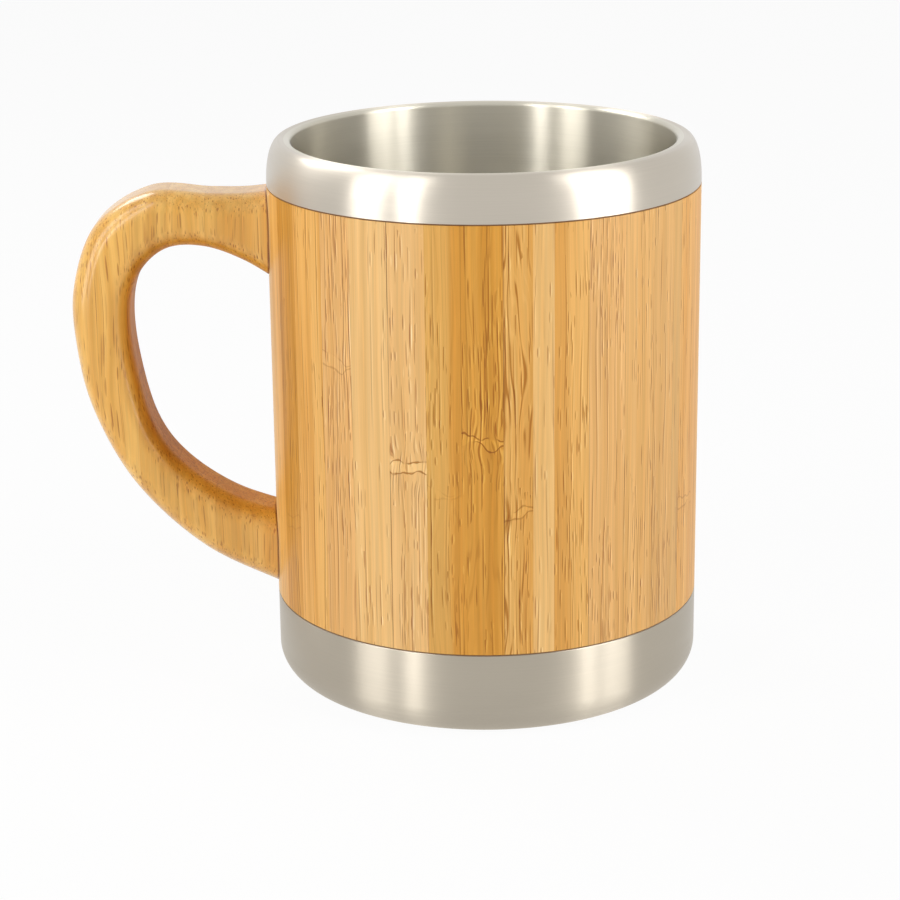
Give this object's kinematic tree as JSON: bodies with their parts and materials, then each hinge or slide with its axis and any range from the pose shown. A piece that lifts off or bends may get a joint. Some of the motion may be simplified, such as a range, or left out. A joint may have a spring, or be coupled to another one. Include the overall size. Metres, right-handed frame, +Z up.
{
  "type": "handled bamboo cup",
  "caption": "Straight round drinking cup: steel liner and rim, sleeve of upright bamboo staves, rounded steel base and a laminated bamboo loop handle on one side.",
  "frame": {"origin": "on the cup's axis, in the plane of the flat ring that it stands on", "axes": "+Z up along the cup's axis; -X from the axis towards the handle; +Y completes a right-handed frame"},
  "size_m": [0.1254, 0.086, 0.1105],
  "materials": {
    "steel_liner": "stainless steel, brushed round the axis",
    "steel_band": "stainless steel, finely brushed round the axis",
    "steel_base": "stainless steel, satin brushed round the axis",
    "sealant": "dark sealant, matt",
    "screw_steel": "yellow zinc plated steel",
    "bamboo_pale": "pale bamboo under satin lacquer",
    "bamboo_honey": "honey bamboo under satin lacquer",
    "bamboo_amber": "amber bamboo under satin lacquer",
    "bamboo_tan": "pinkish tan bamboo under satin lacquer",
    "handle_bamboo": "bamboo with upright grain, glossy lacquer",
    "handle_bamboo_deep": "darker bamboo with upright grain, glossy lacquer"
  },
  "bodies": {
    "root": {"liner": "steel_liner", "rim_band": "steel_band", "base_cup": "steel_base", "upper_seal": "sealant", "lower_seal": "sealant", "upper_screw": "screw_steel", "lower_screw": "screw_steel", "stave_01": "bamboo_honey", "stave_02": "bamboo_pale", "stave_03": "bamboo_pale", "stave_04": "bamboo_amber", "stave_05": "bamboo_honey", "stave_06": "bamboo_tan", "stave_07": "bamboo_pale", "stave_08": "bamboo_pale", "stave_09": "bamboo_honey", "stave_10": "bamboo_amber", "stave_11": "bamboo_honey", "stave_12": "bamboo_pale", "stave_13": "bamboo_amber", "stave_14": "bamboo_tan", "stave_15": "bamboo_tan", "stave_16": "bamboo_tan", "stave_17": "bamboo_pale", "stave_18": "bamboo_honey", "stave_19": "bamboo_honey", "stave_20": "bamboo_pale", "stave_21": "bamboo_amber", "stave_22": "bamboo_tan", "stave_23": "bamboo_honey", "stave_24": "bamboo_pale", "stave_25": "bamboo_honey", "stave_26": "bamboo_amber", "stave_27": "bamboo_pale", "stave_28": "bamboo_tan", "stave_29": "bamboo_honey", "stave_30": "bamboo_amber", "stave_31": "bamboo_pale", "stave_32": "bamboo_honey", "stave_33": "bamboo_tan", "stave_34": "bamboo_honey", "stave_35": "bamboo_amber", "stave_36": "bamboo_pale", "handle_strip_1": "handle_bamboo", "handle_strip_2": "handle_bamboo_deep", "handle_strip_3": "handle_bamboo", "handle_strip_4": "handle_bamboo_deep", "handle_strip_5": "handle_bamboo", "handle_strip_6": "handle_bamboo_deep"}
  },
  "joints": []
}
